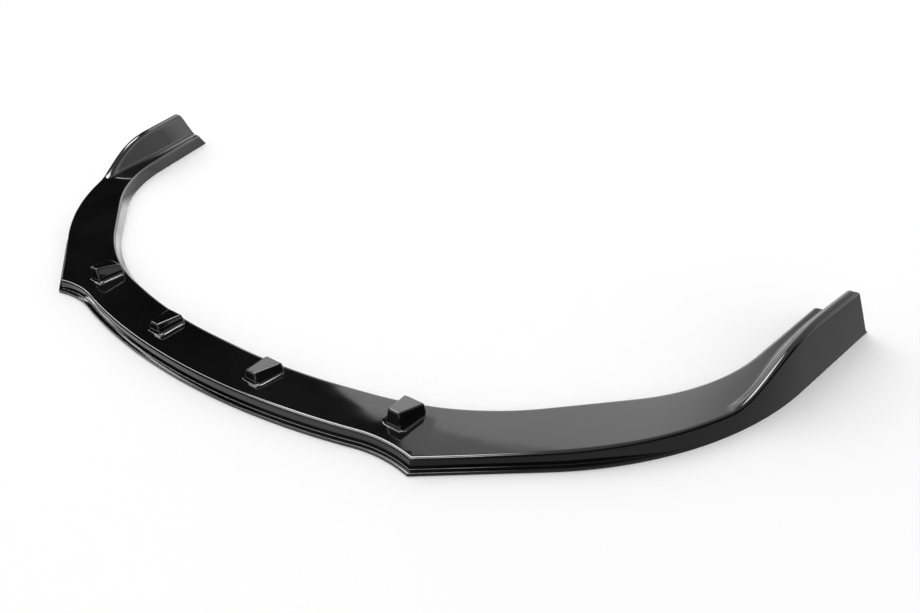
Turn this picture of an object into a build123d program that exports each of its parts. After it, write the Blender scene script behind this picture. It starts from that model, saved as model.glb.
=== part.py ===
"""Front splitter lip, moulded in one piece from black plastic sheet.

A tilted plate follows the bumper in a U, bowed between two crisp front corners and swept back along
two arms. Its edge turns down to a rim on the floor, with a small foot along the front. Each arm ends
in a raised winglet with a leaning outer face. Four hollow wedge bosses stand along the plate's inner
edge, and the underside is open.

Millimetres. +Z is up, -Y is the car's front, and the part is alike on both sides of the YZ plane.
The origin is on the floor under the middle of the part.
"""

import os
from math import sqrt

from build123d import *

# Plan: how far each point lies from the middle plane, and behind the foremost point of the bow
depth = 683.5
bow_radius = 1262.0
bow_half = 297.0
corner_x = 385.0
corner_back = 36.2
arm_knee_x = 717.8
arm_knee_back = 256.0
arm_knee_radius = 684.0
arm_rear_x = 877.3
inner_back = 87.7
inner_bow_x = 128.7
inner_bow_radius = 1022.0
inner_bend_x = 389.3
inner_bend_back = 140.8
inner_bend_radius = 547.0
inner_knee_x = 686.6
inner_knee_back = 372.4
inner_knee_radius = 404.0
inner_rear_x = 794.2
mitre_inner = 375.0

# Plate: height of its inner edge, and how much it drops for each millimetre towards that edge
wall = 3.5
plate_z = 19.7
plate_tilt = 0.063
arm_inner_z = 25.6
arm_tilt = 0.122
plate_blend = 600.0

# Front edge: the rounding over the wall, and the foot that flares out on the floor
edge_round = 6.0
foot_reach = 8.0
foot_edge = 3.0
foot_round = 2.0
foot_rise = 9.0
wall_draft = 1.0
foot_fade_start = 230.0
foot_fade_end = 400.0

# Inner edge: its rounding, and how far the bottom of the inner wall stands out from it
inner_round = 3.5
inner_flare = 7.0

# Winglet: its places are measured along the arm's outer edge from the front corner
wing_height = 88.0
wing_lean = 0.33
wing_round = 8.0
wing_start = 445.0
wing_end = 689.0
wing_haste = 1.8
wing_run_front = 4.0
wing_run_rear = 20.0
wing_foot_round = 8.0
flat_step = 3.0

# Rear end: the closing wall leans forward, flares at the floor and bends into the top
rear_flare = 13.0
rear_flare_height = 20.0
rear_lean = 0.33
rear_round = 11.0

# Bosses: each has a plateau that slopes down to the rear and widens towards the side of the car.
# They are placed along the plate's inner edge from the middle plane, at a gap in front of it.
boss_along = (113.0, 342.0)
boss_gap = (6.0, 10.0)
boss_front_height = (16.0, 26.0)
boss_rear_height = (13.5, 18.0)
boss_length = 42.0
boss_front_width = 19.0
boss_skew = 1.0
boss_rear_width = 31.0
boss_draft = 5.0
boss_round = 2.5
boss_foot_bevel = 1.5

# Working values
front_y = -depth / 2
rear_y = depth / 2
overrun = 30.0
top_step = 1.0
middle_steps = 6
arm_steps = 18
bow_back = bow_radius - sqrt(bow_radius**2 - bow_half**2)
outer_end_x = arm_rear_x + (arm_rear_x - arm_knee_x) * overrun / (depth - arm_knee_back)
inner_end_x = inner_rear_x + (inner_rear_x - inner_knee_x) * overrun / (depth - inner_knee_back)


def mix(low, high, share):
    return low + (high - low) * share


def ease(value, start, end):
    """A smooth step from 0 at start to 1 at end."""
    share = min(max((value - start) / (end - start), 0.0), 1.0)
    return share * share * (3 - 2 * share)


def plan(x, back):
    return (x, front_y + back)


# Half of the plan's three edges, from the middle plane to the rear
with BuildLine() as front_edge:
    bow = RadiusArc(plan(0, 0), plan(bow_half, bow_back), -bow_radius)
    TangentArc(bow @ 1, plan(corner_x, corner_back), tangent=bow % 1)
with BuildLine() as outer_edge:
    FilletPolyline(
        plan(corner_x, corner_back),
        plan(arm_knee_x, arm_knee_back),
        plan(outer_end_x, depth + overrun),
        radius=arm_knee_radius,
    )
with BuildLine() as inner_edge:
    FilletPolyline(
        plan(0, inner_back),
        plan(inner_bow_x, inner_back),
        plan(inner_bend_x, inner_bend_back),
        plan(inner_knee_x, inner_knee_back),
        plan(inner_end_x, depth + overrun),
        radius=[inner_bow_radius, inner_bend_radius, inner_knee_radius],
    )

front_wire, outer_wire, inner_wire = front_edge.wire(), outer_edge.wire(), inner_edge.wire()
arm_length = outer_wire.length
mitre_share = mitre_inner / inner_wire.length


class Rung:
    """A vertical cutting plane across the lip, from a point of the outer edge to one of the inner."""

    def __init__(self, outer, inner, side):
        run = inner - outer
        self.width = run.length
        self.across = run.normalized()
        self.inner = inner
        axis = (side * self.across.X, self.across.Y, 0)
        origin = (side * outer.X, outer.Y, 0)
        self.plane = Plane(origin, x_dir=axis, z_dir=(axis[1], -axis[0], 0))


def middle_rung(share, side):
    """A rung between the middle plane, share 0, and the front corner, share 1."""
    rung = Rung(front_wire @ share, inner_wire @ (share * mitre_share), side)
    rung.along = 0.0
    rung.inner_z = plate_z - plate_tilt * (rung.inner.Y - front_y - inner_back)
    rung.tilt = plate_tilt * rung.across.Y
    return rung


def arm_rung(along):
    """A rung at a distance along the right arm's outer edge from the front corner."""
    share = along / arm_length
    rung = Rung(outer_wire @ share, inner_wire @ mix(mitre_share, 1, share), 1)
    rung.along = along
    corner = middle_rung(1, 1)
    blend = ease(along, 0, plate_blend)
    rung.inner_z = mix(corner.inner_z, arm_inner_z, blend)
    rung.tilt = mix(corner.tilt, arm_tilt, blend)
    return rung


def lip_points(rung):
    """The corners of the lip's section on a rung: x runs inwards from the outer edge, y is height."""
    lean = ease(rung.along, foot_fade_start, foot_fade_end)
    climb = min(max((rung.along - wing_start) / (wing_end - wing_start), 0.0), 1.0)
    rise = ease(1 - (1 - climb) ** wing_haste, 0, 1)
    run = mix(wing_run_front, wing_run_rear, ease(rung.along, wing_start, arm_length))
    top_round = mix(edge_round, wing_round, rise)
    width = rung.width

    def plate(x):
        return rung.inner_z + rung.tilt * (width - x)

    def top(x):
        return mix(plate(x), wing_height, rise)

    def face(foot_x, z):
        """A point of the outer face, on the footed wall or on the leaning one."""
        return (mix(foot_x, wing_lean * z, lean), z)

    crown = top(foot_reach)
    slope = sqrt(1 + wing_lean**2)
    wall_x = foot_reach + wall_draft
    shoulder = crown - top_round * (1 - lean * wing_lean / slope)
    ridge_x = mix(wall_x + top_round, wing_lean * (crown - top_round) + top_round * slope, lean)
    points = {
        "toe": (0, 0),
        "toe_top": face(0, foot_edge),
        "foot_top": face(foot_round, foot_edge + foot_round),
        "cove": face(foot_reach - foot_rise / 4, foot_edge + foot_rise / 3),
        "wall_foot": face(foot_reach, foot_edge + foot_rise),
        "shoulder": face(wall_x, shoulder),
    }
    corner_x_there = face(wall_x, crown)[0]
    points["edge"] = (corner_x_there, top(corner_x_there))
    points["ridge"] = (ridge_x, top(ridge_x))
    crest_x = ridge_x + mix(flat_step, top_round, rise)
    foot_x = crest_x + mix(4 * flat_step, run, rise)
    crest, foot = Vector(crest_x, top(crest_x)), Vector(foot_x, plate(foot_x))
    fall = (foot - crest).normalized()
    back = crest + fall * mix(flat_step, top_round, rise)
    bend = mix(flat_step, wing_foot_round, rise)
    points["back_edge"] = (crest.X, crest.Y)
    points["back"] = (back.X, back.Y)
    points["back_foot"] = (foot.X - fall.X * bend, foot.Y - fall.Y * bend)
    points["nook"] = (foot.X, foot.Y)
    points["strip"] = (foot_x + bend, plate(foot_x + bend))
    points["inner_top"] = (width - inner_round, plate(width - inner_round))
    points["inner_edge"] = (width, plate(width))
    down = inner_round / rung.inner_z
    points["inner_wall"] = (width + inner_flare * down, rung.inner_z - inner_round)
    points["heel"] = (width + inner_flare, 0)
    return points


def section(rung, points, chain):
    """A face on a rung: lines join two named corners, curves bend towards the middle one of three.

    The edges are made one by one, so that those in line stay apart and all sections match.
    """
    edges = []
    for names in chain:
        corners = [rung.plane.from_local_coords(Vector(*points[name])) for name in names]
        maker = Edge.make_line if len(corners) == 2 else Edge.make_bezier
        edges.append(maker(*corners))
    return Face(Wire(edges))


foot_chain = [
    ("toe", "toe_top"),
    ("toe_top", "foot_top"),
    ("foot_top", "cove"),
    ("cove", "wall_foot"),
    ("wall_foot", "shoulder"),
]
edge_chain = [("shoulder", "edge", "ridge")]
wing_chain = [
    ("ridge", "back_edge", "back"),
    ("back", "back_foot"),
    ("back_foot", "nook", "strip"),
]
heel_chain = [("inner_top", "inner_edge", "inner_wall"), ("inner_wall", "heel")]
base_chain = [("heel", "toe")]
middle_chain = base_chain + foot_chain + edge_chain + [("ridge", "inner_top")] + heel_chain
arm_chain = base_chain + foot_chain + edge_chain + wing_chain + [("strip", "inner_top")] + heel_chain

# The hollow has flat strips where the outside is rounded
wall_chain = [("heel_low", "wall_low"), ("wall_low", "shoulder"), ("shoulder", "ridge")]
drop_chain = [("inner_top", "inner_wall"), ("inner_wall", "heel_low")]
middle_hollow_chain = wall_chain + [("ridge", "inner_top")] + drop_chain
arm_hollow_chain = wall_chain + [("ridge", "back"), ("back", "nook"), ("nook", "inner_top")] + drop_chain


def on_floor(high, low):
    """The corner where the line through two corners meets the floor."""
    return (low[0] - low[1] * (high[0] - low[0]) / (high[1] - low[1]), 0)


def hollow_points(points, chain):
    """The corners of the hollow under the lip: the lip's own, moved in by the wall."""
    points = dict(points)
    points["wall_low"] = on_floor(points["shoulder"], points["wall_foot"])
    points["heel_low"] = points["heel"]
    names = ["wall_low"] + [name for span in chain[1:] for name in span[1:]]
    inwards = []
    for start, end in zip(names, names[1:]):
        along = (Vector(*points[end]) - Vector(*points[start])).normalized()
        inwards.append(Vector(along.Y, -along.X))
    shifts = [Vector(wall / inwards[0].X, 0)]
    for before, after in zip(inwards, inwards[1:]):
        shifts.append((before + after) * (wall / (1 + before.dot(after))))
    shifts.append(Vector(wall / inwards[-1].X, 0))
    moved = {}
    for name, shift in zip(names, shifts):
        moved[name] = (points[name][0] + shift.X, points[name][1] + shift.Y)
    return moved


middle_rungs = [middle_rung(step / middle_steps, -1) for step in range(middle_steps, 0, -1)]
middle_rungs += [middle_rung(step / middle_steps, 1) for step in range(middle_steps + 1)]
arm_rungs = [arm_rung(arm_length * step / arm_steps) for step in range(arm_steps + 1)]


def lip_section(rung, chain):
    return section(rung, lip_points(rung), chain)


def hollow_section(rung, chain):
    return section(rung, hollow_points(lip_points(rung), chain), chain)


def rear_cut(inset):
    """All that lies behind the rear wall, or behind its inside face when inset by the wall."""
    foot_y, top_z = rear_y - inset, wing_height - inset
    knee = (foot_y - rear_flare, rear_flare_height)
    bend = (knee[0] - rear_lean * (top_z - rear_round - knee[1]), top_z - rear_round)
    crest = (bend[0] - rear_lean * (rear_round + top_step), top_z + top_step)
    far, high = rear_y + 2 * overrun, crest[1] + overrun
    with BuildPart() as cut:
        with BuildSketch(Plane.YZ):
            with BuildLine():
                Line((foot_y, -overrun), (foot_y, 0))
                Bezier((foot_y, 0), (knee[0] + rear_lean * knee[1], 0), knee)
                Line(knee, bend)
                Bezier(bend, crest, (crest[0] - rear_round, crest[1]))
                Polyline(
                    (crest[0] - rear_round, crest[1]),
                    (crest[0] - rear_round, high),
                    (far, high),
                    (far, -overrun),
                    (foot_y, -overrun),
                )
            make_face()
        extrude(amount=2 * arm_rear_x, both=True)
    return cut.part


def true_planes(part):
    """The part with its flat faces made again as true planes."""
    return Solid(Shell([Face(face.outer_wire()) if face.is_planar else face for face in part.faces()]))


def plate_height(y):
    """The height of the plate's flat middle part."""
    return plate_z - plate_tilt * (y - front_y - inner_back)


def boss_outline(rear, grown, inset):
    """A boss in plan, grown at the front and the sides; rear is the middle of its rear edge."""
    near_slope = boss_skew / boss_length
    far_slope = (boss_rear_width - boss_front_width) / boss_length - near_slope
    near_x = rear.X - boss_rear_width / 2 - grown * sqrt(1 + near_slope**2)
    far_x = rear.X + boss_rear_width / 2 + grown * sqrt(1 + far_slope**2)
    length = boss_length + grown
    return [
        (near_x + near_slope * inset, rear.Y - inset),
        (near_x + near_slope * length, rear.Y - length),
        (far_x - far_slope * length, rear.Y - length),
        (far_x - far_slope * inset, rear.Y - inset),
    ]


def boss(rear, front_height, rear_height, inset):
    """A boss, or the hollow inside one when it is inset by the wall."""
    base = plate_height(rear.Y) - 2 * wall
    front_top = plate_height(rear.Y - boss_length) + front_height
    rear_top = plate_height(rear.Y) + rear_height
    fall = (front_top - rear_top) / boss_length
    with BuildPart() as block:
        with BuildSketch(Plane.XY.offset(base)):
            Polygon(*boss_outline(rear, boss_draft - inset, inset), align=None)
        with BuildSketch(Plane.XY.offset(front_top)):
            Polygon(*boss_outline(rear, -inset, inset), align=None)
        loft()
    with BuildPart() as wedge:
        add(true_planes(block.part))
        plateau = Plane((rear.X, rear.Y, rear_top - inset), x_dir=(1, 0, 0), z_dir=(0, fall, 1))
        split(bisect_by=plateau, keep=Keep.BOTTOM)
        if inset == 0:
            fillet(wedge.edges().filter_by(Plane.XY.offset(base), reverse=True), radius=boss_round)
    return wedge.part


# The outer form of the middle and of one arm, and the hollow under each
with BuildPart() as middle:
    loft([lip_section(rung, middle_chain) for rung in middle_rungs])
with BuildPart() as middle_inside:
    loft([hollow_section(rung, middle_hollow_chain) for rung in middle_rungs])
with BuildPart() as arm:
    loft([lip_section(rung, arm_chain) for rung in arm_rungs])
with BuildPart() as arm_end:
    add(true_planes(arm.part))
    add(rear_cut(0), mode=Mode.SUBTRACT)
with BuildPart() as arm_inside:
    loft([hollow_section(rung, arm_hollow_chain) for rung in arm_rungs])
with BuildPart() as middle_hollow:
    add(true_planes(middle_inside.part))
with BuildPart() as arm_hollow:
    add(true_planes(arm_inside.part))
    add(rear_cut(wall), mode=Mode.SUBTRACT)

# Each right-hand boss: the middle of its rear edge, and its heights
bosses = []
for along, gap, front, rear in zip(boss_along, boss_gap, boss_front_height, boss_rear_height):
    spot = inner_wire.position_at(along, position_mode=PositionMode.LENGTH)
    bosses.append((spot - Vector(0, gap), front, rear))

# The lip as a solid block with its bosses, then hollowed from below
with BuildPart() as splitter_lip:
    add(true_planes(middle.part))
    add(arm_end.part)
    mirror(arm_end.part, about=Plane.YZ)
    for sizes in bosses:
        block = boss(*sizes, 0)
        add(block)
        mirror(block, about=Plane.YZ)
    flats = splitter_lip.faces().filter_by(GeomType.PLANE)
    seat = flats.filter_by(lambda face: face.normal_at().Z > 0).sort_by(SortBy.AREA)[-1]
    chamfer([edge for wire in seat.inner_wires() for edge in wire.edges()], length=boss_foot_bevel)
    add(middle_hollow.part, mode=Mode.SUBTRACT)
    add(arm_hollow.part, mode=Mode.SUBTRACT)
    mirror(arm_hollow.part, about=Plane.YZ, mode=Mode.SUBTRACT)
    for sizes in bosses:
        block = boss(*sizes, wall)
        add(block, mode=Mode.SUBTRACT)
        mirror(block, about=Plane.YZ, mode=Mode.SUBTRACT)

splitter_lip.part.label = "splitter lip"
os.makedirs("parts", exist_ok=True)
export_step(splitter_lip.part, "parts/splitter_lip.step")
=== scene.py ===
"""Front splitter lip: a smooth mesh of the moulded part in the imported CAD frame, in gloss black.

The mesh follows the same sections as the CAD solid, more finely, so that reflections run clean along
it. Lengths are in millimetres until a mesh is made. +Z is up and -Y is the car's front.
"""

from math import atan2, cos, hypot, pi, radians, sin, sqrt

import bmesh
import bpy
import numpy as np
from mathutils import Matrix, Vector
from mathutils.geometry import delaunay_2d_cdt


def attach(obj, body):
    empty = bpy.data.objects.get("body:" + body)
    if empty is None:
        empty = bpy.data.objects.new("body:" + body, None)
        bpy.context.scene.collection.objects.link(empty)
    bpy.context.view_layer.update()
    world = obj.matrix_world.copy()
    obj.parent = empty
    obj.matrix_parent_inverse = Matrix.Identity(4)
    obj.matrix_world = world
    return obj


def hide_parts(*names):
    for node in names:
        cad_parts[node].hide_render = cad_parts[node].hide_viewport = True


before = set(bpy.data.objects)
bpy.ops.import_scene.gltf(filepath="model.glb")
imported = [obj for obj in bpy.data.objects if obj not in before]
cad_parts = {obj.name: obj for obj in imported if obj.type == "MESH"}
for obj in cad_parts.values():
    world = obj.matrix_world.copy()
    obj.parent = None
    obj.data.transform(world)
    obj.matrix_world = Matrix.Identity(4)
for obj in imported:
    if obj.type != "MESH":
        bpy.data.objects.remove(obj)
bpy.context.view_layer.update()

METRES = 0.001

# Studio: light, floor and sun, in metres and degrees
surround = 0.75
floor_half = 12
floor_shade = 0.96
floor_roughness = 0.8
floor_gloss = 0.1
sun_energy = 1.1
sun_spread = 50
sun_tilt = -40
sun_turn = -8

# Cards that the gloss mirrors: in metres on the sphere and overhead, in millimetres on the floor
card_centre = Vector((0.25, -0.27, 0.02))
card_steps = 40
lamp_height = 3.0
floor_gap = 0.3
# The dim card on the floor beside the near arm is painted shade: it stands in for the floor's shadow
# there, seen only in the gloss
painted_shade_reach = 1500
painted_shade_tail = 12
# The bright card on the floor in the bay is painted light: a glowing pool on the floor, seen only in
# the gloss
painted_light_start = 380
painted_light_end = 800
painted_light_reach = 160

# Gloss black plastic: each grain is a noise's scale, detail and roughness
gloss_ior = 1.5
tint_grain = (9.0, 4.0, 0.5)
tint_span = (0.35, 0.7)
tint_colours = ((0.003, 0.003, 0.0033, 1), (0.007, 0.007, 0.0075, 1))
haze_grain = (28.0, 6.0, 0.6)
haze_span = (0.3, 0.75)
haze_roughness = (0.045, 0.08)
wave_grain = (11.0, 2.0, 0.4)
wave_strength = 0.12
wave_depth = 0.004

# Plan: how far each point lies from the middle plane, and behind the foremost point of the bow
depth = 683.5
bow_radius = 1262.0
bow_half = 297.0
corner_x = 385.0
corner_back = 36.2
arm_knee_x = 717.8
arm_knee_back = 256.0
arm_knee_radius = 684.0
arm_rear_x = 877.3
inner_back = 87.7
inner_bow_x = 128.7
inner_bow_radius = 1022.0
inner_bend_x = 389.3
inner_bend_back = 140.8
inner_bend_radius = 547.0
inner_knee_x = 686.6
inner_knee_back = 372.4
inner_knee_radius = 404.0
inner_rear_x = 794.2
mitre_inner = 375.0

# Plate
wall = 3.5
plate_z = 19.7
plate_tilt = 0.063
arm_inner_z = 25.6
arm_tilt = 0.122
plate_blend = 600.0

# Front edge and foot
edge_round = 6.0
foot_reach = 8.0
foot_edge = 3.0
foot_round = 2.0
foot_rise = 9.0
tip_round = 1.3
cove_round = 1.4
wall_draft = 1.0
foot_fade_start = 230.0
foot_fade_end = 400.0

# Inner edge
inner_round = 3.5
inner_flare = 7.0

# Winglet
wing_height = 88.0
wing_lean = 0.33
wing_round = 8.0
wing_start = 445.0
wing_end = 689.0
wing_haste = 1.8
wing_run_front = 4.0
wing_run_rear = 20.0
wing_foot_round = 8.0
crest_step = 6.0
crest_share = 0.65
foot_step = 5.0
foot_bend = 1.2

# Rear end
rear_flare = 13.0
rear_flare_height = 20.0
rear_lean = 0.33
rear_round = 11.0
top_step = 1.0

# Bosses
boss_along = (113.0, 342.0)
boss_gap = (6.0, 10.0)
boss_front_height = (16.0, 26.0)
boss_rear_height = (13.5, 18.0)
boss_length = 42.0
boss_front_width = 19.0
boss_skew = 1.0
boss_rear_width = 31.0
boss_draft = 5.0
boss_round = 3.0
boss_foot_round = 9.0
boss_foot_rear = 1.2
boss_foot_front = 4.0
boss_foot_side = 3.0
boss_top_shrink = 0.8
boss_hollow_round = 0.5

# Fineness of the mesh
station_step = 6.0
middle_stations = 48
curve_steps = 8
line_steps = {("wall_foot", "shoulder"): 2, ("back", "back_foot"): 5, ("strip", "inner_top"): 4}
arc_steps = 6
sharp_angle = 32.0
normal_weight = 100
rear_margin = 2.0
rear_rows = 24
rear_columns = 14
join_gap = 0.02
sliver_gap = 0.01
fill_tolerance = 1e-4

# Worked out from the sizes above
front_y = -depth / 2
rear_y = depth / 2
overrun = 30.0
bow_back = bow_radius - sqrt(bow_radius**2 - bow_half**2)
ceiling = wall * hypot(1, plate_tilt)
boss_sink = 2 * wall
outer_end_x = arm_rear_x + (arm_rear_x - arm_knee_x) * overrun / (depth - arm_knee_back)
inner_end_x = inner_rear_x + (inner_rear_x - inner_knee_x) * overrun / (depth - inner_knee_back)


def mix(low, high, share):
    return low + (high - low) * share


def ease(value, start, end):
    """A smooth step from 0 at start to 1 at end."""
    share = min(max((value - start) / (end - start), 0.0), 1.0)
    return share * share * (3 - 2 * share)


def plan(x, back):
    return Vector((x, front_y + back))


class Path:
    """Lines and arcs end to end, walked by distance."""

    def __init__(self):
        self.spans = []
        self.length = 0.0

    def add(self, span_length, point_at):
        self.spans.append((self.length, span_length, point_at))
        self.length += span_length

    def line(self, start, end):
        self.add((end - start).length, lambda share: start.lerp(end, share))

    def arc(self, start, end, centre):
        radius = (start - centre).length
        first = atan2(start.y - centre.y, start.x - centre.x)
        turn = atan2(end.y - centre.y, end.x - centre.x) - first
        turn = (turn + pi) % (2 * pi) - pi

        def point_at(share):
            angle = first + turn * share
            return centre + Vector((cos(angle), sin(angle))) * radius

        self.add(radius * abs(turn), point_at)

    def at(self, distance):
        for begin, span_length, point_at in self.spans:
            if distance <= begin + span_length:
                break
        return point_at(min((distance - begin) / span_length, 1.0))


def rounded_path(corners, radii):
    """Straight runs through corners, each inner corner rounded to its radius."""
    path = Path()
    start = corners[0]
    for before, corner, after, radius in zip(corners, corners[1:], corners[2:], radii):
        back, ahead = (before - corner).normalized(), (after - corner).normalized()
        half = back.angle(ahead) / 2
        reach = radius / np.tan(half)
        centre = corner + (back + ahead).normalized() * (radius / sin(half))
        path.line(start, corner + back * reach)
        path.arc(corner + back * reach, corner + ahead * reach, centre)
        start = corner + ahead * reach
    path.line(start, corners[-1])
    return path


def bowed_path():
    """The front edge: the bow, then an arc that goes on from it to the corner."""
    path = Path()
    end, corner = plan(bow_half, bow_back), plan(corner_x, corner_back)
    path.arc(plan(0, 0), end, plan(0, bow_radius))
    inwards = (plan(0, bow_radius) - end).normalized()
    run = corner - end
    path.arc(end, corner, end + inwards * (run.length_squared / (2 * run.dot(inwards))))
    return path


front_path = bowed_path()
outer_path = rounded_path(
    [plan(corner_x, corner_back), plan(arm_knee_x, arm_knee_back), plan(outer_end_x, depth + overrun)],
    [arm_knee_radius],
)
inner_path = rounded_path(
    [
        plan(0, inner_back),
        plan(inner_bow_x, inner_back),
        plan(inner_bend_x, inner_bend_back),
        plan(inner_knee_x, inner_knee_back),
        plan(inner_end_x, depth + overrun),
    ],
    [inner_bow_radius, inner_bend_radius, inner_knee_radius],
)


class Rung:
    """A vertical cutting plane across the lip, from a point of the outer edge to one of the inner."""

    def __init__(self, outer, inner, along, side):
        self.outer = Vector((side * outer.x, outer.y))
        self.inner = Vector((side * inner.x, inner.y))
        self.width = (inner - outer).length
        self.across = (self.inner - self.outer) / self.width
        self.along = along

    def place(self, point):
        spot = self.outer + self.across * point[0]
        return (spot.x, spot.y, point[1])


def plate_height(y):
    """The height of the plate's flat middle part."""
    return plate_z - plate_tilt * (y - front_y - inner_back)


def middle_rung(share, side):
    """A rung between the middle plane, share 0, and the front corner, share 1."""
    outer, inner = front_path.at(share * front_path.length), inner_path.at(share * mitre_inner)
    rung = Rung(outer, inner, 0.0, side)
    rung.inner_z = plate_height(rung.inner.y)
    rung.tilt = plate_tilt * rung.across.y
    return rung


def arm_rung(along, side):
    """A rung at a distance along an arm's outer edge from the front corner."""
    share = along / outer_path.length
    inner = inner_path.at(mix(mitre_inner, inner_path.length, share))
    rung = Rung(outer_path.at(along), inner, along, side)
    corner = middle_rung(1, side)
    blend = ease(along, 0, plate_blend)
    rung.inner_z = mix(corner.inner_z, arm_inner_z, blend)
    rung.tilt = mix(corner.tilt, arm_tilt, blend)
    return rung


def lip_points(rung):
    """The corners of the lip's section on a rung: x runs inwards from the outer edge, y is height."""
    lean = ease(rung.along, foot_fade_start, foot_fade_end)
    climb = min(max((rung.along - wing_start) / (wing_end - wing_start), 0.0), 1.0)
    rise = ease(1 - (1 - climb) ** wing_haste, 0, 1)
    run = mix(wing_run_front, wing_run_rear, ease(rung.along, wing_start, outer_path.length))
    top_round = mix(edge_round, wing_round, rise)
    width = rung.width

    def plate(x):
        return rung.inner_z + rung.tilt * (width - x)

    def top(x):
        return mix(plate(x), wing_height, rise)

    def face(foot_x, z):
        """A point of the outer face, on the footed wall or on the leaning one."""
        return (mix(foot_x, wing_lean * z, lean), z)

    crown = top(foot_reach)
    slope = sqrt(1 + wing_lean**2)
    wall_x = foot_reach + wall_draft
    shoulder = crown - top_round * (1 - lean * wing_lean / slope)
    ridge_x = mix(wall_x + top_round, wing_lean * (crown - top_round) + top_round * slope, lean)
    edge_x = face(wall_x, crown)[0]
    crest_x = ridge_x + mix(crest_step, top_round, rise)
    foot_x = crest_x + mix(foot_step, run, rise)
    crest, foot = Vector((crest_x, top(crest_x))), Vector((foot_x, plate(foot_x)))
    fall = (foot - crest).normalized()
    turn = mix(crest_share * (foot - crest).length, top_round, rise)
    bend = mix(foot_bend, wing_foot_round, rise)
    down = inner_round / rung.inner_z
    return {
        "toe": (0, 0),
        "toe_top": face(0, foot_edge + foot_round - tip_round),
        "tip": face(0, foot_edge + foot_round),
        "foot_top": face(tip_round, foot_edge + foot_round),
        "ledge": face(foot_reach - cove_round, foot_edge + foot_round),
        "cove": face(foot_reach, foot_edge + foot_round),
        "cove_top": face(foot_reach, foot_edge + foot_round + cove_round),
        "wall_foot": face(foot_reach, foot_edge + foot_rise),
        "shoulder": face(wall_x, shoulder),
        "edge": (edge_x, top(edge_x)),
        "ridge": (ridge_x, top(ridge_x)),
        "back_edge": tuple(crest),
        "back": tuple(crest + fall * turn),
        "back_foot": tuple(foot - fall * bend),
        "nook": tuple(foot),
        "strip": (foot_x + bend, plate(foot_x + bend)),
        "inner_top": (width - inner_round, plate(width - inner_round)),
        "inner_edge": (width, plate(width)),
        "inner_wall": (width + inner_flare * down, rung.inner_z - inner_round),
        "heel": (width + inner_flare, 0),
    }


def hollow_points(points, names):
    """The corners of the hollow under the lip: the lip's own, moved in by the wall."""
    points = dict(points)
    high, low = points["shoulder"], points["wall_foot"]
    points["wall_low"] = (low[0] - low[1] * (high[0] - low[0]) / (high[1] - low[1]), 0)
    points["heel_low"] = points["heel"]
    corners = [Vector(points[name]) for name in names]
    inwards = []
    for start, end in zip(corners, corners[1:]):
        along = (end - start).normalized()
        inwards.append(Vector((along.y, -along.x)))
    shifts = [Vector((wall / inwards[0].x, 0))]
    for before, after in zip(inwards, inwards[1:]):
        shifts.append((before + after) * (wall / (1 + before.dot(after))))
    shifts.append(Vector((wall / inwards[-1].x, 0)))
    return {name: tuple(corner + shift) for name, corner, shift in zip(names, corners, shifts)}


foot_chain = [
    ("toe", "toe_top"),
    ("toe_top", "tip", "foot_top"),
    ("foot_top", "ledge"),
    ("ledge", "cove", "cove_top"),
    ("cove_top", "wall_foot"),
    ("wall_foot", "shoulder"),
]
edge_chain = [("shoulder", "edge", "ridge")]
wing_chain = [("ridge", "back_edge", "back"), ("back", "back_foot"), ("back_foot", "nook", "strip")]
strip_chain = [("strip", "inner_top")]
heel_chain = [("inner_top", "inner_edge", "inner_wall"), ("inner_wall", "heel")]

# The hollow has flat strips where the outside is rounded
wall_chain = [("wall_low", "shoulder"), ("shoulder", "ridge")]
drop_chain = [("inner_top", "inner_wall"), ("inner_wall", "heel_low")]


def chain_names(chain):
    return [chain[0][0]] + [name for span in chain for name in span[1:]]


def span_steps(names):
    """How many steps a span of a chain is traced in; a curve names three corners."""
    return curve_steps if len(names) == 3 else line_steps.get(names, 1)


def trace(points, chain):
    """Points along a chain: a line joins two corners, a curve bends to the middle one of three."""
    line = [points[chain[0][0]]]
    for names in chain:
        corners = [np.array(points[name]) for name in names]
        steps = span_steps(names)
        for step in range(1, steps + 1):
            share = step / steps
            if len(corners) == 3:
                first, second = mix(corners[0], corners[1], share), mix(corners[1], corners[2], share)
                line.append(tuple(mix(first, second, share)))
            else:
                line.append(tuple(mix(corners[0], corners[1], share)))
    return line


def traced(rung, chain, hollow_names=None):
    """A chain's points on a rung, in the part's frame; of the hollow when its corners are named."""
    points = lip_points(rung)
    if hollow_names:
        points = hollow_points(points, hollow_names)
    return [rung.place(point) for point in trace(points, chain)]


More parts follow.
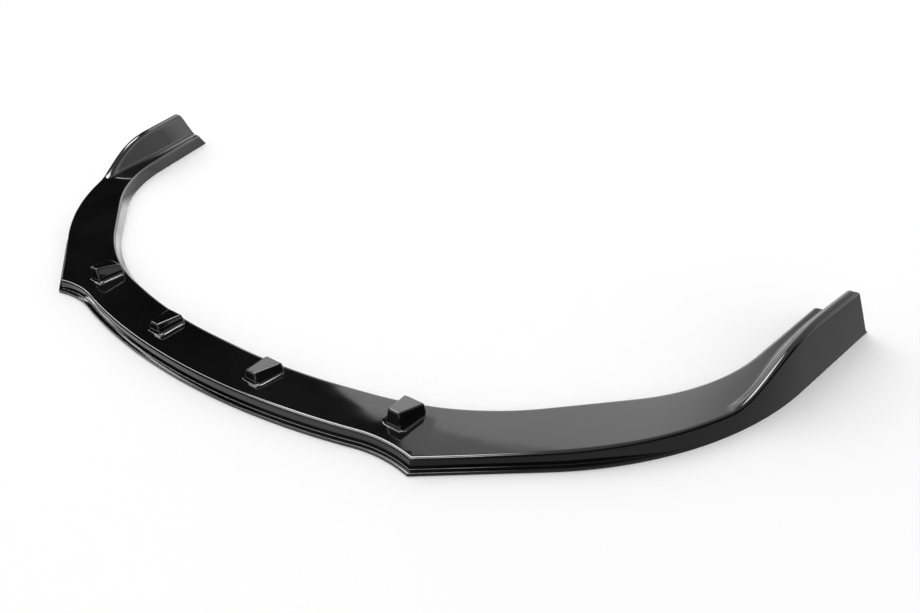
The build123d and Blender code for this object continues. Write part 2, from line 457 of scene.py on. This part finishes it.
class Shell:
    """A mesh that is put together from strips of points and joined at the end."""

    def __init__(self):
        self.mesh = bmesh.new()

    def face(self, points):
        verts = [self.mesh.verts.new(Vector(point) * METRES) for point in points]
        self.mesh.faces.new(verts)

    def ribbon(self, rows, closed=False):
        """Quads between rows of points, each row as long as the others."""
        grid = [[self.mesh.verts.new(Vector(point) * METRES) for point in row] for row in rows]
        for row, after in zip(grid, grid[1:]):
            count = len(row) if closed else len(row) - 1
            for i in range(count):
                j = (i + 1) % len(row)
                self.mesh.faces.new((row[i], row[j], after[j], after[i]))

    def region(self, loop, holes, inside, lift):
        """Triangles that fill a flat loop around its holes; lift gives each flat point its place."""
        points, edges = [], []
        for ring in [loop] + holes:
            first = len(points)
            points += [Vector(point) for point in ring]
            edges += [(first + i, first + (i + 1) % len(ring)) for i in range(len(ring))]
        points += [Vector(point) for point in inside]
        verts, _, faces, *_ = delaunay_2d_cdt(points, edges, [], 1, fill_tolerance)
        for face in faces:
            corners = [verts[index] for index in face]
            middle = sum(corners, Vector((0, 0))) / len(corners)
            if encloses(loop, middle) and not any(encloses(hole, middle) for hole in holes):
                self.face([lift(corner) for corner in corners])

    def finish(self, name):
        bmesh.ops.remove_doubles(self.mesh, verts=self.mesh.verts, dist=join_gap * METRES)
        bmesh.ops.dissolve_degenerate(self.mesh, edges=self.mesh.edges, dist=sliver_gap * METRES)
        bmesh.ops.recalc_face_normals(self.mesh, faces=self.mesh.faces)
        data = bpy.data.meshes.new(name)
        self.mesh.to_mesh(data)
        self.mesh.free()
        data.shade_smooth()
        data.set_sharp_from_angle(angle=radians(sharp_angle))
        piece = bpy.data.objects.new(name, data)
        bpy.context.collection.objects.link(piece)
        even = piece.modifiers.new("even_normals", "WEIGHTED_NORMAL")
        even.keep_sharp = True
        even.weight = normal_weight
        return piece


def encloses(loop, point):
    """Whether a flat point lies inside a loop."""
    inside = False
    for (x0, y0), (x1, y1) in zip(loop, loop[1:] + loop[:1]):
        spans = (y0 > point[1]) != (y1 > point[1])
        if spans and point[0] < x0 + (point[1] - y0) * (x1 - x0) / (y1 - y0):
            inside = not inside
    return inside


def flat(points):
    return [(point[0], point[1]) for point in points]


def curve(start, control, end):
    """Points along a curve that bends towards its control point."""
    shares = [step / curve_steps for step in range(curve_steps + 1)]
    start, control, end = np.array(start), np.array(control), np.array(end)
    return [mix(mix(start, control, share), mix(control, end, share), share) for share in shares]


def rear_profile(inset):
    """How far back the rear wall, or its inside face when inset, stands at each height."""
    foot_y, top_z = rear_y - inset, wing_height - inset
    knee = (foot_y - rear_flare, rear_flare_height)
    bend = (knee[0] - rear_lean * (top_z - rear_round - knee[1]), top_z - rear_round)
    crest = (bend[0] - rear_lean * (rear_round + top_step), top_z + top_step)
    low = curve((foot_y, 0), (knee[0] + rear_lean * knee[1], 0), knee)
    high = curve(bend, crest, (crest[0] - rear_round, crest[1]))
    line = np.array(low + high)
    return lambda z: float(np.interp(z, line[:, 1], line[:, 0]))


def trimmed(rows, profile):
    """Rows of points along an arm, with all that lies behind the rear profile drawn in to it."""
    rows = [list(row) for row in rows]
    ends = []
    for column in range(len(rows[0])):
        before = None
        end = None
        for row in rows:
            point = np.array(row[column])
            past = point[1] - profile(point[2])
            if end is None and past > 0:
                end = mix(before[0], point, before[1] / (before[1] - past))
                end[1] = profile(end[2])
            if end is not None:
                row[column] = tuple(end)
            before = (point, past)
        ends.append(tuple(end))
    return rows, ends


def close_rear(shell, ends, profile):
    """The wall across an arm's rear end, or its inside face."""
    loop = [(point[0], point[2]) for point in ends]
    low_x, high_x = min(x for x, _ in loop), max(x for x, _ in loop)
    inside = []
    for z in np.linspace(rear_margin, wing_height - rear_margin, rear_rows):
        inside += [(x, float(z)) for x in np.linspace(low_x, high_x, rear_columns)]
    inside = [point for point in inside if encloses(loop, point)]
    shell.region(loop, [], inside, lambda spot: (spot[0], profile(spot[1]), spot[1]))


arm_outer = foot_chain + edge_chain + wing_chain + strip_chain + heel_chain
arm_inner = wall_chain + [("ridge", "back"), ("back", "nook"), ("nook", "inner_top")] + drop_chain
middle_front = foot_chain + edge_chain
middle_inner = wall_chain + [("ridge", "inner_top")] + drop_chain


def add_arm(shell, side):
    """One arm, outside and hollow; gives back its first outer and inner rows."""
    count = round(outer_path.length / station_step)
    rungs = [arm_rung(outer_path.length * step / count, side) for step in range(count + 1)]
    outer = [traced(rung, arm_outer) for rung in rungs]
    inner = [traced(rung, arm_inner, chain_names(arm_inner)) for rung in rungs]
    outer, outer_ends = trimmed(outer, rear_profile(0))
    inner, inner_ends = trimmed(inner, rear_profile(wall))
    shell.ribbon([row + low[::-1] for row, low in zip(outer, inner)], closed=True)
    close_rear(shell, outer_ends, rear_profile(0))
    close_rear(shell, inner_ends, rear_profile(wall))
    shell.face([outer_ends[0], outer_ends[-1], inner_ends[-1], inner_ends[0]])
    return outer[0], inner[0]


def boss_corners(rear, front_grown, rear_grown, front_shift, rear_shift):
    """A boss in plan, grown at its sides and moved out at its ends, from its rear edge's middle."""
    near_slope = boss_skew / boss_length
    far_slope = (boss_rear_width - boss_front_width) / boss_length - near_slope

    def near_x(grown, length):
        return rear.x - boss_rear_width / 2 - grown * hypot(1, near_slope) + near_slope * length

    def far_x(grown, length):
        return rear.x + boss_rear_width / 2 + grown * hypot(1, far_slope) - far_slope * length

    front_length = boss_length + front_shift
    return [
        Vector((near_x(rear_grown, -rear_shift), rear.y + rear_shift)),
        Vector((near_x(front_grown, front_length), rear.y - front_length)),
        Vector((far_x(front_grown, front_length), rear.y - front_length)),
        Vector((far_x(rear_grown, -rear_shift), rear.y + rear_shift)),
    ]


def rounded_loop(corners, radius):
    """A closed loop through corners that are rounded to a radius."""
    loop = []
    for before, corner, after in zip(corners[-1:] + corners, corners, corners[1:] + corners[:1]):
        back, ahead = (before - corner).normalized(), (after - corner).normalized()
        half = back.angle(ahead) / 2
        centre = corner + (back + ahead).normalized() * (radius / sin(half))
        start = corner + back * (radius / np.tan(half))
        spread = pi - 2 * half
        swing = -1 if back.cross(ahead) > 0 else 1
        for step in range(arc_steps + 1):
            turn = Matrix.Rotation(swing * spread * step / arc_steps, 2)
            loop.append(centre + turn @ (start - centre))
    return loop


class Boss:
    """A wedge boss on the plate, with its draft and its sloping plateau."""

    def __init__(self, rear, front_height, rear_height):
        self.rear = rear
        self.base = plate_height(rear.y) - boss_sink
        self.front_top = plate_height(rear.y - boss_length) + front_height
        self.rear_top = plate_height(rear.y) + rear_height

    def plateau(self, y):
        return mix(self.rear_top, self.front_top, (self.rear.y - y) / boss_length)

    def grown(self, z):
        return boss_draft * (self.front_top - z) / (self.front_top - self.base)

    def loop(self, surface, extra, radius):
        """A loop around the boss, grown by extra, on a surface that gives a height for each y."""
        front_grown = self.grown(surface(self.rear.y - boss_length))
        rear_grown = self.grown(surface(self.rear.y))
        front_shift = front_grown + min(extra, extra * boss_foot_front / boss_foot_round)
        rear_side = rear_grown + min(extra, extra * boss_foot_side / boss_foot_round)
        rear_shift = min(extra, boss_foot_rear)
        corners = boss_corners(self.rear, front_grown + extra, rear_side, front_shift, rear_shift)
        return [(p.x, p.y, surface(p.y)) for p in rounded_loop(corners, radius)]

    def outside(self):
        """Loops from the foot on the plate up to the plateau."""
        loops = []
        for step in range(arc_steps + 1):
            turn = pi / 2 * step / arc_steps
            reach, lift = boss_foot_round * (1 - sin(turn)), boss_foot_round * (1 - cos(turn))
            loops.append(self.loop(lambda y: plate_height(y) + lift, reach, boss_round + reach))
        for step in range(arc_steps + 1):
            turn = pi / 2 * step / arc_steps
            inset, drop = boss_round * (1 - cos(turn)), boss_round * (1 - sin(turn))
            radius = boss_round - boss_top_shrink * inset
            loops.append(self.loop(lambda y: self.plateau(y) - drop, -inset, radius))
        return loops

    def inside(self):
        """Loops of the hollow, from the plate's underside up."""
        low = self.loop(lambda y: plate_height(y) - ceiling, -wall, boss_hollow_round)
        high = self.loop(lambda y: self.plateau(y) - wall, -wall, boss_hollow_round)
        return [low, high]


def mirrored(loop):
    return [(-x, y, z) for x, y, z in loop]


def add_middle(shell, ends):
    """The front between the corners: its edge, inner wall, flat plate with bosses, and hollow."""
    shares = [step / middle_stations for step in range(middle_stations + 1)]
    rungs = [middle_rung(share, -1) for share in shares[:0:-1]]
    rungs += [middle_rung(share, 1) for share in shares]
    names = chain_names(middle_inner)
    front = [traced(rung, middle_front) for rung in rungs]
    front_low = [traced(rung, wall_chain, names) for rung in rungs]
    heel = [traced(rung, heel_chain) for rung in rungs]
    heel_low = [traced(rung, drop_chain, names) for rung in rungs]
    shell.ribbon([low[::-1] + row for row, low in zip(front, front_low)])
    shell.ribbon([row + low[::-1] for row, low in zip(heel, heel_low)])

    bosses = []
    for along, gap, *heights in zip(boss_along, boss_gap, boss_front_height, boss_rear_height):
        bosses.append(Boss(inner_path.at(along) - Vector((0, gap)), *heights))
    outsides = [boss.outside() for boss in bosses]
    insides = [boss.inside() for boss in bosses]
    for loops in outsides + insides:
        for side_loops in (loops, [mirrored(loop) for loop in loops]):
            shell.ribbon(side_loops, closed=True)
            shell.face(side_loops[-1])

    def fill(front_rows, heel_rows, end_rows, holes, height):
        edge = [row[-1] for row in front_rows]
        inner = [row[0] for row in heel_rows]
        loop = edge + end_rows[1] + inner[::-1] + end_rows[0][::-1]

        def lift(spot):
            return (spot[0], spot[1], height(spot[1]))

        shell.region(flat(loop), [flat(hole) for hole in holes], [], lift)

    feet = [loops[0] for loops in outsides]
    mouths = [loops[0] for loops in insides]
    fill(front, heel, [end[0] for end in ends], feet + [mirrored(foot) for foot in feet], plate_height)
    fill(
        front_low,
        heel_low,
        [end[1] for end in ends],
        mouths + [mirrored(mouth) for mouth in mouths],
        lambda y: plate_height(y) - ceiling,
    )


def between(row, chain, first, last):
    """The part of a traced row that lies strictly between two named corners of its chain."""
    counts = {chain[0][0]: 0}
    total = 0
    for names in chain:
        total += span_steps(names)
        counts[names[-1]] = total
    return row[counts[first] + 1 : counts[last]]


def build_lip():
    shell = Shell()
    ends = []
    for side in (-1, 1):
        outer, inner = add_arm(shell, side)
        top = between(outer, arm_outer, "ridge", "inner_top")
        under = between(inner, arm_inner, "ridge", "inner_top")
        ends.append((top, under))
    add_middle(shell, ends)
    return shell.finish("splitter_lip_skin")


def gloss_black():
    """Moulded black plastic: glossy, with faint waves from the mould and an uneven tint and haze."""
    material = bpy.data.materials.new("gloss_black_plastic")
    material.use_nodes = True
    nodes, links = material.node_tree.nodes, material.node_tree.links
    shader = nodes["Principled BSDF"]
    shader.inputs["IOR"].default_value = gloss_ior
    place = nodes.new("ShaderNodeTexCoord")

    def noise(scale, detail, roughness):
        texture = nodes.new("ShaderNodeTexNoise")
        texture.inputs["Scale"].default_value = scale
        texture.inputs["Detail"].default_value = detail
        texture.inputs["Roughness"].default_value = roughness
        links.new(place.outputs["Object"], texture.inputs["Vector"])
        return texture

    tint = nodes.new("ShaderNodeValToRGB")
    for stop, position, colour in zip(tint.color_ramp.elements, tint_span, tint_colours):
        stop.position = position
        stop.color = colour
    links.new(noise(*tint_grain).outputs["Fac"], tint.inputs["Fac"])
    links.new(tint.outputs["Color"], shader.inputs["Base Color"])

    haze = nodes.new("ShaderNodeMapRange")
    haze.inputs["From Min"].default_value, haze.inputs["From Max"].default_value = haze_span
    haze.inputs["To Min"].default_value, haze.inputs["To Max"].default_value = haze_roughness
    links.new(noise(*haze_grain).outputs["Fac"], haze.inputs["Value"])
    links.new(haze.outputs["Result"], shader.inputs["Roughness"])

    waves = nodes.new("ShaderNodeBump")
    waves.inputs["Strength"].default_value = wave_strength
    waves.inputs["Distance"].default_value = wave_depth
    links.new(noise(*wave_grain).outputs["Fac"], waves.inputs["Height"])
    links.new(waves.outputs["Normal"], shader.inputs["Normal"])
    return material


def floor_paint():
    """A dull paint of one pale grey."""
    paint = bpy.data.materials.new("pale_floor")
    paint.use_nodes = True
    shader = paint.node_tree.nodes["Principled BSDF"]
    shader.inputs["Base Color"].default_value = (floor_shade, floor_shade, floor_shade, 1)
    shader.inputs["Roughness"].default_value = floor_roughness
    shader.inputs["Specular IOR Level"].default_value = floor_gloss
    return paint


def staged(name, points, faces, paint):
    """A piece of the studio."""
    data = bpy.data.meshes.new(name)
    data.from_pydata(points, [], faces)
    data.materials.append(paint)
    piece = bpy.data.objects.new(name, data)
    bpy.context.collection.objects.link(piece)
    return piece


def glow_paint():
    """A paint that shines as strongly as each point of its card says."""
    paint = bpy.data.materials.new("card_glow")
    paint.use_nodes = True
    nodes, links = paint.node_tree.nodes, paint.node_tree.links
    nodes.remove(nodes["Principled BSDF"])
    shine = nodes.new("ShaderNodeEmission")
    level = nodes.new("ShaderNodeAttribute")
    level.attribute_name = "level"
    links.new(level.outputs["Fac"], shine.inputs["Strength"])
    links.new(shine.outputs["Emission"], nodes["Material Output"].inputs["Surface"])
    return paint


def glowing(name, rows, levels, paint):
    """A card of rows of points, each of which shines at its own level, for the gloss alone."""
    width = len(rows[0])
    faces = []
    for row in range(len(rows) - 1):
        for column in range(width - 1):
            first = row * width + column
            faces.append((first, first + 1, first + width + 1, first + width))
    piece = staged(name, [point for row in rows for point in row], faces, paint)
    piece.data.attributes.new("level", "FLOAT", "POINT").data.foreach_set("value", levels)
    piece.visible_camera = piece.visible_shadow = False
    piece.visible_diffuse = piece.visible_transmission = False


def faded(shares, sizes, softs, level):
    """The level at a point of a card, which fades into the surround over its soft sides."""
    for share, size, soft in zip(shares, sizes, softs):
        if soft:
            level = mix(surround, level, ease(min(share, 1 - share) * size, 0, soft))
    return level


card_shares = [step / card_steps for step in range(card_steps + 1)]


def curved_card(name, paint, azimuths, elevations, distance, level=0.0, softs=(0, 0), slant=0.0):
    """A card on a sphere around the plate: azimuth 0 is behind the part and 90 at its right.

    A slant moves the card's sides for each degree of height.
    """
    middle = sum(elevations) / 2
    rows, levels = [], []
    for along in card_shares:
        elevation = mix(*elevations, along)
        lift = radians(elevation)
        row = []
        for across in card_shares:
            turn = radians(mix(*azimuths, across) + slant * (elevation - middle))
            way = Vector((sin(turn) * cos(lift), cos(turn) * cos(lift), sin(lift)))
            row.append(card_centre + way * distance)
            spans = (azimuths[1] - azimuths[0], elevations[1] - elevations[0])
            levels.append(faded((across, along), spans, softs, level))
        rows.append(row)
    glowing(name, rows, levels, paint)


def overhead_card(name, paint, xs, ys, level, soft):
    """A flat lamp that hangs over the part."""
    spans = (xs[1] - xs[0], ys[1] - ys[0])
    rows, levels = [], []
    for along in card_shares:
        y = mix(*ys, along)
        rows.append([Vector((mix(*xs, across), y, lamp_height)) for across in card_shares])
        levels += [faded((across, along), spans, (soft, soft), level) for across in card_shares]
    glowing(name, rows, levels, paint)


def floor_card(name, paint, line, reach, level, soft=0.0):
    """A card on the floor along a line of the plan, on its right-hand side when reach is positive.

    Soft is the share of the line over which it fades at either end.
    """
    rows = []
    for before, spot, after in zip(line[:1] + line, line, line[1:] + line[-1:]):
        run = (after - before).normalized()
        far = Vector((spot.x + run.y * reach, spot.y - run.x * reach))
        rows.append([Vector((*point, floor_gap)) * METRES for point in (spot, far)])
    levels = []
    for place in range(len(rows)):
        share = place / (len(rows) - 1)
        here = mix(surround, level, ease(min(share, 1 - share), 0, soft)) if soft else level
        levels += [here, here]
    glowing(name, rows, levels, paint)


def stretch(path, first, last, side):
    """Points of a path between two distances, on one side of the part."""
    spots = [path.at(mix(first, last, share)) for share in card_shares]
    return [Vector((side * spot.x, spot.y)) for spot in spots]


def studio():
    """A pale floor, a white surround and a soft sun."""
    half = floor_half
    edge = [(-half, -half, 0), (half, -half, 0), (half, half, 0), (-half, half, 0)]
    staged("floor", edge, [(0, 1, 2, 3)], floor_paint())
    world = bpy.data.worlds.new("studio")
    world.use_nodes = True
    bpy.context.scene.world = world
    back = world.node_tree.nodes["Background"]
    back.inputs["Color"].default_value = (1, 1, 1, 1)
    back.inputs["Strength"].default_value = surround

    sun = bpy.data.lights.new("soft_sun", "SUN")
    sun.energy, sun.angle = sun_energy, radians(sun_spread)
    sun_item = bpy.data.objects.new("soft_sun", sun)
    bpy.context.collection.objects.link(sun_item)
    sun_item.rotation_euler = (0, radians(sun_tilt), radians(sun_turn))
    sun_item.visible_glossy = False


def black_cards(paint):
    """Black flags at both sides, which darken the far half and the near arm's outer side."""
    curved_card("left_black_low", paint, azimuths=(-140, -51), elevations=(-2, 29), distance=9.0)
    curved_card(
        "left_black", paint, azimuths=(-140, -42.6), elevations=(22, 54), distance=9.1, slant=1.375
    )
    curved_card(
        "right_black", paint, azimuths=(52, 155), elevations=(-14, 60), distance=9.2, softs=(14, 14)
    )


def back_cards(paint):
    """Softboxes behind the part, which make the near plate grey."""
    sides = (-75, 4)
    curved_card("back_box", paint, sides, elevations=(4, 41), distance=9.5, level=2.8, softs=(14, 0))
    curved_card("low_back", paint, (0, 52), elevations=(-2, 26), distance=9.4, level=2.4, softs=(16, 9))
    curved_card("upper_haze", paint, sides, elevations=(36, 47), distance=9.7, level=1.6, softs=(14, 3))


def overhead_cards(paint):
    """Bright strips overhead, which draw the white lines along the rim and the rounded edges."""
    overhead_card("front_strip", paint, xs=(-7.5, 0.7), ys=(-1.2, -0.3), level=17, soft=0.2)
    overhead_card("near_lamp", paint, xs=(0.35, 0.95), ys=(-0.9, 0.0), level=20, soft=0.2)
    overhead_card("back_strip", paint, xs=(-2.4, -0.2), ys=(0.5, 1.8), level=18, soft=0.15)


def floor_cards(paint):
    """Painted shade and painted light on the floor, seen only in the gloss: a dim card along the near
    arm's outer side, past its rear end, paints the floor's shadow there, and a bright one in the bay
    paints a pool of light.
    """
    beside = stretch(outer_path, 0, outer_path.length, 1)
    beside.append(beside[-1] * 2 - beside[-painted_shade_tail])
    # Painted shade: a dim card that stands in for the floor's shadow beside the near arm and past its
    # rear end
    floor_card("side_painted_shade", paint, beside, painted_shade_reach, level=0.32)
    bay = stretch(inner_path, painted_light_start, painted_light_end, -1)
    # Painted light: a glowing pool on the bay's floor, which paints a bright reflection on the inner
    # wall
    floor_card("bay_painted_light", paint, bay, painted_light_reach, level=2.8, soft=0.35)


def set_camera():
    """The photo's viewpoint, fitted to the part's outline."""
    azimuth, elevation, roll = radians(30.664), radians(36.009), radians(0.672)
    spot = Vector((0.66988, -0.66035, 0.59226))
    photo_width, focal_pixels, sensor_width, far_clip = 920, 567.874, 36, 60
    back = Vector((sin(azimuth) * cos(elevation), -cos(azimuth) * cos(elevation), sin(elevation)))
    right = Vector((cos(azimuth), sin(azimuth), 0))
    up = back.cross(right)
    turned = Matrix((right, up, back)).transposed() @ Matrix.Rotation(roll, 3, "Z")
    data = bpy.data.cameras.new("photo_view")
    data.sensor_width = sensor_width
    data.lens = sensor_width * focal_pixels / photo_width
    data.clip_end = far_clip
    camera = bpy.data.objects.new("photo_view", data)
    camera.matrix_world = Matrix.Translation(spot) @ turned.to_4x4()
    bpy.context.collection.objects.link(camera)
    bpy.context.scene.camera = camera


lip = build_lip()
lip.data.materials.append(gloss_black())
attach(lip, "root")
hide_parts("splitter_lip")
studio()
glow = glow_paint()
black_cards(glow)
back_cards(glow)
overhead_cards(glow)
floor_cards(glow)
set_camera()
bpy.context.scene.view_settings.view_transform = "Standard"
